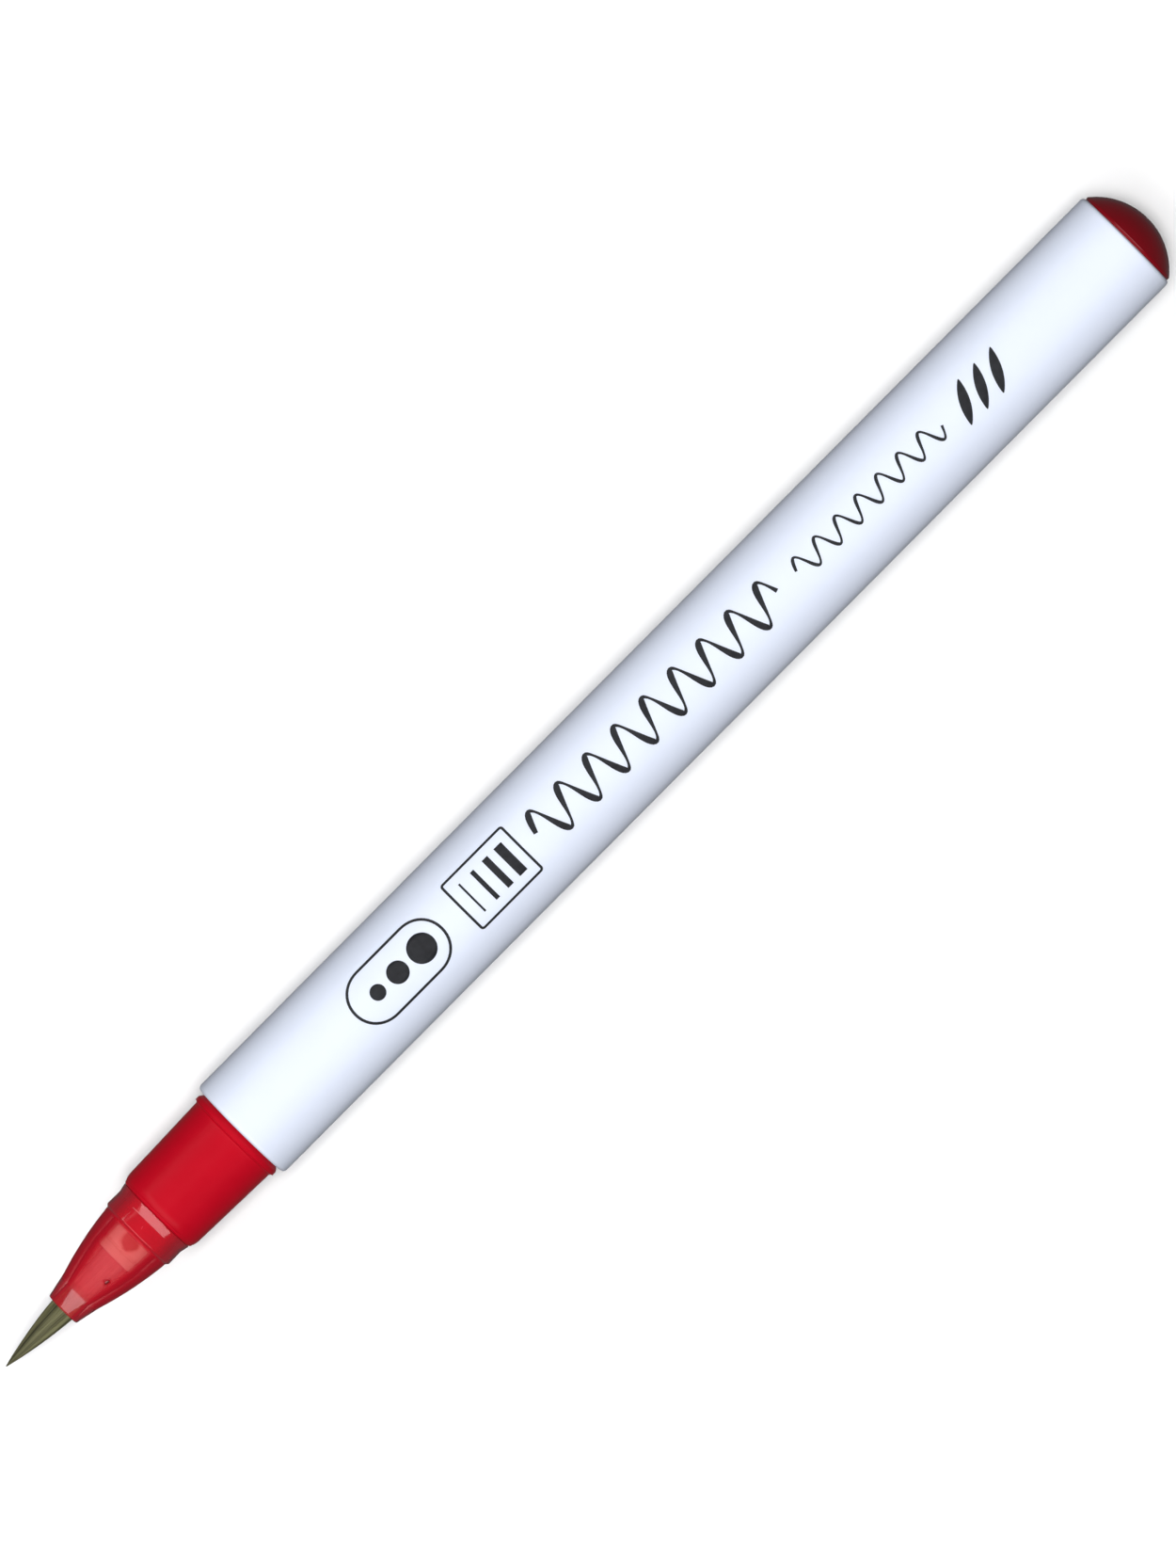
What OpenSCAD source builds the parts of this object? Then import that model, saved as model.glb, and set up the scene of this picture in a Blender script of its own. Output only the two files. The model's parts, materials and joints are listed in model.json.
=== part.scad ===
// Water-based brush pen with its cap off, lying on its barrel along X, brush toward -X.
// The origin is on the surface under the pen, halfway along it.
// Parts are turned about the pen's axis and placed by their distance behind the barrel's mouth.

/* [Barrel] */
// Outer diameter of the barrel
barrel_d = 10.7; // [10.2:0.1:13]
// Length of the barrel
barrel_len = 111.2; // [85:0.2:135]
// Wall thickness of the barrel
barrel_wall = 0.95; // [0.7:0.05:1.1]
// Rounding of both rims of the barrel
rim_round = 0.4; // [0.1:0.05:0.6]
// Number of inner ribs that centre the reservoir
rib_count = 6; // [3:1:10]
// Thickness of one inner rib
rib_t = 0.7; // [0.5:0.1:1.2]
// Height of one inner rib
rib_h = 0.5; // [0.3:0.1:0.8]

/* [Tail plug] */
// Height of the dome behind the barrel
dome_rise = 2.7; // [1.5:0.1:4]
// Length of the dome's straight edge
dome_land = 0.25; // [0.1:0.05:0.6]
// How far the dome's edge stays inside the barrel's outline
dome_set = 0.27; // [0.1:0.01:0.6]
// Length of the plug inside the barrel
plug_len = 7; // [5:0.5:10]
// Wall and floor of the plug
plug_wall = 1; // [0.8:0.1:1.6]
// Length of the crossed fins that hold the reservoir forward
fin_len = 6; // [3:0.5:10]
// Thickness of one fin
fin_t = 1.2; // [0.8:0.1:2]

/* [Grip section] */
// Length of the grip section in front of the barrel
grip_len = 10.5; // [8.5:0.1:16]
// Thickness of the flange against the barrel
flange_t = 0.85; // [0.5:0.05:1.5]
// How far the flange stays inside the barrel's outline
flange_set = 0.55; // [0.3:0.05:0.8]
// Step from the flange down to the grip
neck_step = 0.27; // [0.15:0.01:0.4]
// Loss of radius along the grip
grip_taper = 0.24; // [0:0.02:0.4]
// Radius of the rounded shoulder in front
shoulder_round = 2.4; // [1.5:0.1:4]
// Length of the rounded shoulder
shoulder_len = 1.1; // [0.6:0.1:1.4]
// Length of the shank pressed into the barrel
shank_len = 9; // [6:0.5:14]
// Wall of the shank
shank_wall = 1.1; // [0.8:0.1:1.4]
// Length of the spigot that carries the nose cone
spigot_len = 2.8; // [2.2:0.1:3.6]
// Wall of the spigot
spigot_wall = 0.4; // [0.3:0.05:0.5]

/* [Nose cone] */
// Length of the nose cone in front of the grip section
nose_len = 11.9; // [10:0.1:15]
// Step from the shoulder down to the collar
collar_step = 0.05; // [0.02:0.01:0.2]
// Length of the collar
collar_len = 2.4; // [1.6:0.1:2.6]
// Loss of radius along the collar
collar_taper = 0.14; // [0:0.02:0.3]
// Step from the collar down to the cone
cone_step = 0.22; // [0.1:0.02:0.4]
// Gap round the ferrule inside the cone
ferrule_gap = 0.37; // [0.3:0.01:0.45]
// Gain of radius along the ferrule's part of the cavity
cavity_draft = 0.13; // [0:0.01:0.2]
// Outward bow of the cavity's side in front of the ferrule
cavity_bow = 0.06; // [0:0.01:0.12]
// Outward bow of the cone's side
cone_bow = 0.19; // [0:0.01:0.3]
// Length of the slim nozzle in front of the cone
nozzle_len = 2.3; // [1.5:0.1:3]
// Gain of radius along the nozzle
nozzle_flare = 0.49; // [0.3:0.01:0.7]
// Length of the straight guide at the mouth
guide_len = 1.9; // [1:0.1:2.6]
// Wall at the lip of the mouth
lip_wall = 0.32; // [0.25:0.02:0.6]
// Diameter of the vent hole
vent_d = 0.5; // [0.3:0.1:0.8]
// Distance of the vent hole behind the mouth
vent_back = 4.6; // [3.5:0.1:5.5]
// Turn of the vent hole from the top of the pen
vent_turn = 25; // [-60:5:60]

/* [Brush] */
// Diameter of the tuft at the mouth
tuft_d = 2.55; // [2:0.05:3.2]
// Length of the tuft outside the mouth
tuft_len = 7.1; // [5:0.1:9]
// Outward bow of the tuft's side
tuft_bow = 0.19; // [0.05:0.01:0.25]
// Radius of the tuft's point
point_r = 0.08; // [0.05:0.01:0.15]
// Distance of the first bend in front of the mouth
bend_out = 0.4; // [0.3:0.05:0.6]
// Share of the tuft's free length between the two bends
bend_share = 0.46; // [0.35:0.01:0.6]
// Gap round each bend
bend_gap = 0.1; // [0.06:0.01:0.15]

/* [Brush holder] */
// Outer diameter of the ferrule that binds the tuft
ferrule_d = 4.2; // [3.9:0.1:4.8]
// Length of the ferrule in front of the grip section's spigot
ferrule_out = 2.6; // [1.5:0.1:4]
// Depth of the ferrule's seat inside the spigot
ferrule_in = 1.8; // [1.2:0.1:2.2]
// Height and thickness of the ferrule's rear rim
ferrule_rim = 0.55; // [0.4:0.05:0.7]
// How far the fused end of the tuft stands out round it
butt_step = 0.4; // [0.3:0.05:0.5]
// Thickness of the fused end of the tuft
butt_t = 0.9; // [0.6:0.1:1.5]

/* [Ink feed] */
// Diameter of the relay core that carries the ink
core_d = 1.6; // [1.2:0.1:1.8]
// How far the relay core reaches into the tuft's root
core_in_tuft = 3; // [2:0.5:4]
// How far the relay core reaches into the reservoir
core_in_reservoir = 9; // [5:1:20]
// Length of the wide front of the inner plug
inner_plug_len = 9; // [6:0.5:10]
// Wall of the inner plug's rear tube
inner_tube_wall = 0.65; // [0.5:0.05:1]
// Number of air grooves along the inner plug
groove_count = 3; // [2:1:6]
// Radius of one air groove
groove_r = 0.5; // [0.3:0.05:0.7]
// Thickness of the film round the reservoir
film_t = 0.1; // [0.1:0.02:0.2]

/* [Fits] */
// Gap between parts that slide together
slip = 0.05; // [0.03:0.01:0.1]
// Bite of a press fit's ring into the wall around it
bite = 0.05; // [0.03:0.01:0.08]
// Length of a press fit's ring
ring_len = 0.8; // [0.5:0.1:1.2]
// End gap between parts that must not press on each other
end_gap = 0.3; // [0.2:0.05:0.6]
// Chamfer that leads a part into its bore
lead = 0.4; // [0.2:0.05:0.6]

/* [Hidden] */
$fn = 96;
// Segments in a small rounding and in a long curve
arc_steps = 4;
bow_steps = 8;
// How far a cutter or a rib reaches past the face that it meets
over = 0.3;
// Where each brush segment is cut off behind the ball of the next one, as a share of the ball's radius
dish_share = 0.72;

// Radii of the barrel and of what sits in it
barrel_r = barrel_d / 2;
bore_r = barrel_r - barrel_wall;
film_r = bore_r - rib_h - slip;
reservoir_r = film_r - film_t;
shank_r = bore_r - slip;
dome_r = barrel_r - dome_set;

// Radii along the front, each stepping in from the one behind it
flange_r = barrel_r - flange_set;
grip_rear_r = flange_r - neck_step;
grip_front_r = grip_rear_r - grip_taper;
shoulder_r = grip_front_r - shoulder_round + sqrt(pow(shoulder_round, 2) - pow(shoulder_len, 2));
collar_rear_r = shoulder_r - collar_step;
collar_front_r = collar_rear_r - collar_taper;
cone_r = collar_front_r - cone_step;

// Radii of the brush train, each growing out from the one inside it
tuft_r = tuft_d / 2;
guide_r = tuft_r + bend_gap;
mouth_r = guide_r + lip_wall;
lip_round = lip_wall / 2;
nozzle_r = mouth_r + nozzle_flare;
ferrule_r = ferrule_d / 2;
rim_r = ferrule_r + ferrule_rim;
cavity_r = ferrule_r + ferrule_gap;
grip_bore_r = rim_r + slip;
spigot_r = grip_bore_r + spigot_wall;
socket_r = spigot_r + slip;
butt_r = tuft_r + butt_step;
core_r = core_d / 2;
core_hole_r = core_r + slip;
inner_tube_r = core_hole_r + inner_tube_wall;

// Places along the axis, measured behind the barrel's mouth
grip_x = -grip_len;
spigot_x = grip_x - spigot_len;
seat_x = spigot_x + ferrule_in;
socket_x = spigot_x - slip;
cone_x = grip_x - collar_len - cone_step;
mouth_x = grip_x - nose_len;
nozzle_x = mouth_x + nozzle_len;
guide_x = mouth_x + guide_len;
ferrule_x = spigot_x - ferrule_out;
rim_x = seat_x + ferrule_rim;
butt_x = rim_x - butt_t;
inner_plug_x = rim_x + slip;
inner_step_x = inner_plug_x + inner_plug_len;
inner_end_x = shank_len - end_gap;
reservoir_x = shank_len + slip;
plug_x = barrel_len - plug_len;
fin_x = plug_x - fin_len;
reservoir_end_x = fin_x - end_gap;
core_x = rim_x - core_in_tuft;
core_end_x = reservoir_x + core_in_reservoir;

// The two bends of the brush, the ball at each, and where the segment behind each ball ends
tip_x = mouth_x - tuft_len;
tip_ball_x = tip_x + point_r;
bend1_x = mouth_x - bend_out;
bend2_x = bend1_x - (bend1_x - tip_x) * bend_share;
ball1_r = tuft_r_at(bend1_x);
ball2_r = tuft_r_at(bend2_x);
root_end_x = bend1_x + ball1_r * dish_share;
belly_end_x = bend2_x + ball2_r * dish_share;

// The middle of the pen's length
mid_x = (barrel_len + dome_rise + tip_x) / 2;

// Radius of the tuft's side at a place in front of the mouth
function tuft_r_at(x) =
    let (t = (mouth_x - x) / (tuft_len - point_r))
    point_r + (tuft_r - point_r) * (1 - t) + 4 * tuft_bow * t * (1 - t);

// An outline is a list of [radius, place] points
function side(from_x, to_x) = [for (i = [0:bow_steps])
    let (x = from_x + (to_x - from_x) * i / bow_steps)
    [tuft_r_at(x), x]];

function arc(centre, radius, from_angle, to_angle) = [for (i = [0:arc_steps])
    let (a = from_angle + (to_angle - from_angle) * i / arc_steps)
    centre + radius * [cos(a), sin(a)]];

// From p to q, bowed outward by rise at the middle
function bow(p, q, rise) = [for (i = [0:bow_steps])
    let (t = i / bow_steps)
    p + (q - p) * t + [4 * rise * t * (1 - t), 0]];

// A press fit's ring that starts at x on a wall of radius r
function ring(r, x) = [
    [r, x],
    [r + slip + bite, x + ring_len / 4],
    [r + slip + bite, x + ring_len * 3 / 4],
    [r, x + ring_len]];

module lay() {
    translate([-mid_x, 0, barrel_r]) rotate([0, 90, 0]) children();
}

module lathe(outline) {
    rotate_extrude() polygon(outline);
}

module at(x) {
    translate([0, 0, x]) children();
}

module barrel() {
    rib_x = reservoir_x + lead;
    color("white") lay() {
        lathe(concat(
            [[bore_r, 0]],
            arc([barrel_r - rim_round, rim_round], rim_round, -90, 0),
            arc([barrel_r - rim_round, barrel_len - rim_round], rim_round, 0, 90),
            [[bore_r, barrel_len]]));
        for (i = [0:rib_count - 1])
            rotate([0, 0, 360 * i / rib_count])
                translate([bore_r - rib_h, -rib_t / 2, rib_x])
                    cube([rib_h + over, rib_t, fin_x - rib_x]);
    }
}

module tail_plug() {
    cap_rise = dome_rise - dome_land;
    dome_ball_r = (pow(dome_r, 2) + pow(cap_rise, 2)) / (2 * cap_rise);
    floor_x = barrel_len - plug_wall;
    color("firebrick") lay() {
        intersection() {
            at(barrel_len + dome_rise - dome_ball_r) sphere(r = dome_ball_r);
            at(barrel_len) cylinder(r = dome_r, h = dome_rise + over);
        }
        lathe(concat(
            [[0, floor_x], [shank_r - plug_wall, floor_x], [shank_r - plug_wall, plug_x]],
            [[shank_r - lead, plug_x], [shank_r, plug_x + lead]],
            ring(shank_r, plug_x + plug_len / 3),
            ring(shank_r, plug_x + plug_len * 2 / 3),
            [[shank_r, barrel_len], [0, barrel_len]]));
        for (turn = [0, 90])
            rotate([0, 0, turn])
                translate([-fin_t / 2, -film_r, fin_x])
                    cube([fin_t, 2 * film_r, floor_x + plug_wall / 2 - fin_x]);
    }
}

module grip_section() {
    shoulder_turn = asin(shoulder_len / shoulder_round);
    shank_bore_r = shank_r - shank_wall;
    color("crimson") lay()
        lathe(concat(
            [[ferrule_r + slip, seat_x], [ferrule_r + slip, spigot_x], [spigot_r, spigot_x]],
            ring(spigot_r, spigot_x + spigot_len / 3),
            [[spigot_r, grip_x]],
            arc([grip_front_r - shoulder_round, grip_x + shoulder_len], shoulder_round, -shoulder_turn, 0),
            arc([flange_r, -flange_t - neck_step], neck_step, 180, 90),
            [[flange_r, 0], [shank_r, 0]],
            ring(shank_r, shank_len / 3),
            ring(shank_r, shank_len * 2 / 3),
            [[shank_r, shank_len - lead], [shank_r - lead, shank_len], [shank_bore_r, shank_len]],
            [[shank_bore_r, 0], [grip_bore_r, -abs(shank_bore_r - grip_bore_r)], [grip_bore_r, seat_x]]));
}

module nose_cone() {
    color("indianred", 0.6) lay()
        difference() {
            lathe(concat(
                [[socket_r, grip_x], [collar_rear_r, grip_x]],
                [[collar_front_r, grip_x - collar_len]],
                bow([cone_r, cone_x], [nozzle_r, nozzle_x], cone_bow),
                [[mouth_r, mouth_x + lip_round], [mouth_r - lip_round, mouth_x]],
                [[guide_r, mouth_x]],
                bow([guide_r, guide_x], [cavity_r, ferrule_x], cavity_bow),
                [[cavity_r + cavity_draft, socket_x], [socket_r, socket_x]]));
            at(mouth_x + vent_back)
                rotate([0, 90, 180 + vent_turn])
                    cylinder(d = vent_d, h = barrel_r);
        }
}

module brush_ferrule() {
    tuft_hole_r = tuft_r + slip;
    butt_hole_r = butt_r + slip;
    color("ivory") lay()
        lathe([
            [tuft_hole_r, ferrule_x], [ferrule_r, ferrule_x], [ferrule_r, seat_x], [rim_r, seat_x],
            [rim_r, rim_x], [butt_hole_r, rim_x], [butt_hole_r, butt_x], [tuft_hole_r, butt_x]]);
}

module brush_root() {
    color("darkolivegreen") lay()
        difference() {
            lathe([
                [0, root_end_x], [tuft_r, root_end_x], [tuft_r, butt_x],
                [butt_r, butt_x], [butt_r, rim_x], [0, rim_x]]);
            at(bend1_x) sphere(r = ball1_r + bend_gap);
            at(core_x - slip) cylinder(r = core_hole_r, h = core_in_tuft + over);
        }
}

module brush_belly() {
    color("olivedrab") lay()
        difference() {
            union() {
                at(bend1_x) sphere(r = ball1_r);
                lathe(concat([[0, bend1_x], [0, belly_end_x]], side(belly_end_x, bend1_x)));
            }
            at(bend2_x) sphere(r = ball2_r + bend_gap);
        }
}

module brush_point() {
    color("olive") lay() {
        at(bend2_x) sphere(r = ball2_r);
        lathe(concat([[0, bend2_x], [0, tip_ball_x]], side(tip_ball_x, bend2_x)));
        at(tip_ball_x) sphere(r = point_r);
    }
}

module inner_plug() {
    front_r = grip_bore_r - slip;
    color("whitesmoke") lay()
        difference() {
            lathe(concat(
                [[core_hole_r, inner_plug_x], [front_r, inner_plug_x]],
                ring(front_r, inner_plug_x + inner_plug_len / 4),
                ring(front_r, inner_plug_x + inner_plug_len * 3 / 4),
                [[front_r, inner_step_x], [inner_tube_r, inner_step_x]],
                [[inner_tube_r, inner_end_x], [core_hole_r, inner_end_x]]));
            for (i = [0:groove_count - 1])
                rotate([0, 0, 360 * i / groove_count])
                    translate([grip_bore_r, 0, inner_plug_x - over])
                        cylinder(r = groove_r, h = inner_plug_len + 2 * over);
        }
}

module relay_core() {
    color("mistyrose") lay()
        lathe([
            [0, core_x], [core_r - lead, core_x], [core_r, core_x + lead],
            [core_r, core_end_x - lead], [core_r - lead, core_end_x], [0, core_end_x]]);
}

module ink_reservoir() {
    color("red") lay()
        difference() {
            at(reservoir_x) cylinder(r = reservoir_r, h = reservoir_end_x - reservoir_x);
            at(reservoir_x - over) cylinder(r = core_hole_r, h = over + core_in_reservoir + slip);
        }
}

module reservoir_film() {
    color("lightpink") lay()
        difference() {
            at(reservoir_x) cylinder(r = film_r, h = reservoir_end_x - reservoir_x);
            at(reservoir_x - over) cylinder(r = reservoir_r, h = barrel_len);
        }
}

barrel();
tail_plug();
grip_section();
nose_cone();
brush_ferrule();
brush_root();
brush_belly();
brush_point();
inner_plug();
relay_core();
ink_reservoir();
reservoir_film();
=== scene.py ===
import json
import math
import random
import bmesh
import bpy
from mathutils import Matrix, Vector


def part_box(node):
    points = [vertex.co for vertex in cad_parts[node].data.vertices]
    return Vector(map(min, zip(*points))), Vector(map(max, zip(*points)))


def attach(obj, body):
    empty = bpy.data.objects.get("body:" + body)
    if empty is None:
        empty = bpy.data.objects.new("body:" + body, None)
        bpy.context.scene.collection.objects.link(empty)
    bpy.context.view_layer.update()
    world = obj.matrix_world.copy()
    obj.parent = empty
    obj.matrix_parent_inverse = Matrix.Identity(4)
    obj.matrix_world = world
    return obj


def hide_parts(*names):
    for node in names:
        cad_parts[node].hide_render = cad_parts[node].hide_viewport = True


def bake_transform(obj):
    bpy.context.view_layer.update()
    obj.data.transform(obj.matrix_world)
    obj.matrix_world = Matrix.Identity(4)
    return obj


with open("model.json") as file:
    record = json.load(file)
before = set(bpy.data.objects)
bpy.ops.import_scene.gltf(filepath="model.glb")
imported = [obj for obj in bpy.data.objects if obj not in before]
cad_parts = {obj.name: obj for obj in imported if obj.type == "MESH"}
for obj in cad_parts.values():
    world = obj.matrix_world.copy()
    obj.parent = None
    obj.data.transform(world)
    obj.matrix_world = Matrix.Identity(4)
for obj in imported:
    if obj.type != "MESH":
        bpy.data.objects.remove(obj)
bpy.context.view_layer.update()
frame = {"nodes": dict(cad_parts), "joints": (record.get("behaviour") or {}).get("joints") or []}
scene = bpy.context.scene
random.seed(11)
mm = 0.001

# the pen lies along X with its axis above the X axis; places along it are in mm behind the barrel's mouth
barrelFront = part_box("barrel")[0].x
axisZ = (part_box("barrel")[0].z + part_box("barrel")[1].z) / 2


def frontOf(node):
    return (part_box(node)[0].x - barrelFront) / mm


def backOf(node):
    return (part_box(node)[1].x - barrelFront) / mm


def radiusOf(node):
    low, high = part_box(node)
    return (high.y - low.y) / 2 / mm


def penPoint(x, side=0.0, up=0.0):
    # mm along, beside and above the pen's axis to metres in the frame
    return barrelFront + x * mm, side * mm, axisZ + up * mm


barrelLength = backOf("barrel")
barrelRadius = radiusOf("barrel")
seamX = backOf("nose_cone")  # where the nose cone meets the grip section
mouthX = frontOf("nose_cone")
tipX = frontOf("brush_point")
bendPlaces = {j["name"]: (j["pos_m"][0] - barrelFront) / mm for j in frame["joints"]}
print("frame read, pen length", round(backOf("tail_plug") - tipX, 1), "mm")


def addNode(tree, kind, settings=None, links=None):
    # adds one shader node; settings go on its properties or sockets, links name where its inputs come from
    node = tree.nodes.new(kind)
    for key, value in (settings or {}).items():
        if hasattr(node, key):
            setattr(node, key, value)
        else:
            node.inputs[key].default_value = value
    for key, source in (links or {}).items():
        tree.links.new(source, node.inputs[key])
    return node


def hexColour(text):
    # sRGB hex to the linear colour that a shader socket takes
    parts = [int(text[i:i + 2], 16) / 255 for i in (1, 3, 5)]
    linear = [c / 12.92 if c <= 0.04045 else ((c + 0.055) / 1.055) ** 2.4 for c in parts]
    return (*linear, 1)


def startMaterial(name):
    # an empty material, and the coordinates that place its patterns on the pen
    material = bpy.data.materials.new(name)
    material.use_nodes = True
    tree = material.node_tree
    tree.nodes.clear()
    place = addNode(tree, "ShaderNodeTexCoord")
    return material, tree, place.outputs["Object"]


def softened(corners, steps=5):
    # closed outline of (x, radius, rounding) corners to (x, radius) points, with a curve at each rounding
    points = []
    count = len(corners)
    for i, (x, radius, rounding) in enumerate(corners):
        here = Vector((x, radius))
        before = Vector(corners[i - 1][:2]) - here
        after = Vector(corners[(i + 1) % count][:2]) - here
        if rounding <= 0 or radius <= 0:
            points.append((x, radius))
            continue
        reach = min(rounding, before.length * 0.48, after.length * 0.48)  # two roundings never meet
        start = here + before.normalized() * reach
        end = here + after.normalized() * reach
        for k in range(steps + 1):
            s = k / steps
            point = start * (1 - s) ** 2 + here * (2 * s * (1 - s)) + end * s ** 2
            points.append((point.x, point.y))
    return points


def bowed(start, end, rise, steps):
    # corners between two (x, radius) ends, pushed out by rise at the middle
    points = []
    for k in range(1, steps):
        s = k / steps
        points.append((start[0] + (end[0] - start[0]) * s,
                       start[1] + (end[1] - start[1]) * s + 4 * rise * s * (1 - s), 0))
    return points


def makePiece(name, bm, material, smoothAngle=40):
    bmesh.ops.recalc_face_normals(bm, faces=bm.faces)
    mesh = bpy.data.meshes.new(name)
    bm.to_mesh(mesh)
    bm.free()
    piece = bpy.data.objects.new(name, mesh)
    scene.collection.objects.link(piece)
    mesh.shade_smooth()
    mesh.set_sharp_from_angle(angle=math.radians(smoothAngle))
    mesh.materials.append(material)
    return piece


def turnOutline(bm, outline, segments):
    # turns a closed outline of (x, radius) in mm about the pen's axis
    rings = []
    for x, radius in outline:
        if radius < 1e-5:
            rings.append([bm.verts.new(penPoint(x))])
            continue
        ring = []
        for i in range(segments):
            turn = 2 * math.pi * i / segments
            ring.append(bm.verts.new(penPoint(x, radius * math.sin(turn), radius * math.cos(turn))))
        rings.append(ring)
    for ring, following in zip(rings, rings[1:] + rings[:1]):
        if len(ring) == 1 and len(following) == 1:
            continue
        for i in range(segments):
            j = (i + 1) % segments
            corners = [ring[i % len(ring)], ring[j % len(ring)],
                       following[j % len(following)], following[i % len(following)]]
            bm.faces.new(list(dict.fromkeys(corners)))


def addBox(bm, low, high, turn):
    # a box between two (x, radius, side) corners in mm, turned about the pen's axis
    corners = []
    for x in (low[0], high[0]):
        for radius, side in ((low[1], low[2]), (high[1], low[2]), (high[1], high[2]), (low[1], high[2])):
            corners.append(bm.verts.new(penPoint(x, radius * math.sin(turn) + side * math.cos(turn),
                                                 radius * math.cos(turn) - side * math.sin(turn))))
    a, b = corners[:4], corners[4:]
    bm.faces.new(a)
    bm.faces.new(b[::-1])
    for i in range(4):
        j = (i + 1) % 4
        bm.faces.new([a[i], b[i], b[j], a[j]])


def evenShading(piece):
    # keeps long faces flat next to small roundings
    weighted = piece.modifiers.new("Even shading", "WEIGHTED_NORMAL")
    weighted.weight = 80
    weighted.keep_sharp = True
    return piece


def mouldedPolypropyleneWhite():
    # injection-moulded polypropylene from a polished tool: slick, milky white, with a faint ripple of flow
    # 17 mm long and 2.4 mm wide
    material, tree, place = startMaterial("moulded_polypropylene_white")
    flow = addNode(tree, "ShaderNodeMapping", {"Scale": (1 / (16.67 * mm), 1 / (2.38 * mm), 1 / (2.38 * mm))},
                   {"Vector": place})
    ripple = addNode(tree, "ShaderNodeTexNoise", {"Scale": 1.0, "Detail": 2.0, "Roughness": 0.5},
                     {"Vector": flow.outputs["Vector"]})
    shade = addNode(tree, "ShaderNodeMix",
                    {"data_type": "RGBA", "A": hexColour("#e0e7f8"), "B": hexColour("#e4ebfb")},
                    {"Factor": ripple.outputs["Fac"]})
    gloss = addNode(tree, "ShaderNodeMapRange", {"To Min": 0.34, "To Max": 0.42},
                    {"Value": ripple.outputs["Fac"]})
    bump = addNode(tree, "ShaderNodeBump", {"Strength": 0.06, "Distance": 0.02 * mm},
                   {"Height": ripple.outputs["Fac"]})
    surface = addNode(tree, "ShaderNodeBsdfPrincipled",
                      {"IOR": 1.49, "Specular IOR Level": 0.4, "Subsurface Weight": 0.15,
                       "Subsurface Radius": (1.0, 1.0, 1.0), "Subsurface Scale": 0.6 * mm},
                      {"Base Color": shade.outputs["Result"], "Roughness": gloss.outputs["Result"],
                       "Normal": bump.outputs["Normal"]})
    addNode(tree, "ShaderNodeOutputMaterial", links={"Surface": surface.outputs["BSDF"]})
    return material


def mouldedPlastic(name, dark, light, roughness, ior=1.49, level=0.5):
    # pigmented moulded plastic: even colour with a faint cloud of pigment, fine skin texture on the gloss
    material, tree, place = startMaterial(name)
    cloud = addNode(tree, "ShaderNodeTexNoise", {"Scale": 1 / (2.5 * mm), "Detail": 2.0}, {"Vector": place})
    shade = addNode(tree, "ShaderNodeMix", {"data_type": "RGBA", "A": hexColour(dark), "B": hexColour(light)},
                    {"Factor": cloud.outputs["Fac"]})
    skin = addNode(tree, "ShaderNodeTexNoise", {"Scale": 1 / (0.35 * mm), "Detail": 3.0}, {"Vector": place})
    gloss = addNode(tree, "ShaderNodeMapRange", {"To Min": roughness - 0.05, "To Max": roughness + 0.05},
                    {"Value": skin.outputs["Fac"]})
    bump = addNode(tree, "ShaderNodeBump", {"Strength": 0.08, "Distance": 0.01 * mm},
                   {"Height": skin.outputs["Fac"]})
    surface = addNode(tree, "ShaderNodeBsdfPrincipled", {"IOR": ior, "Specular IOR Level": level},
                      {"Base Color": shade.outputs["Result"], "Roughness": gloss.outputs["Result"],
                       "Normal": bump.outputs["Normal"]})
    addNode(tree, "ShaderNodeOutputMaterial", links={"Surface": surface.outputs["BSDF"]})
    return material


# how much of the nose cone is polished at its nozzle and at its collar, and how soon the frost begins, in mm
polish = {"nozzleLong": 1.9, "collarLong": 2.7, "fade": 0.2}


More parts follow.
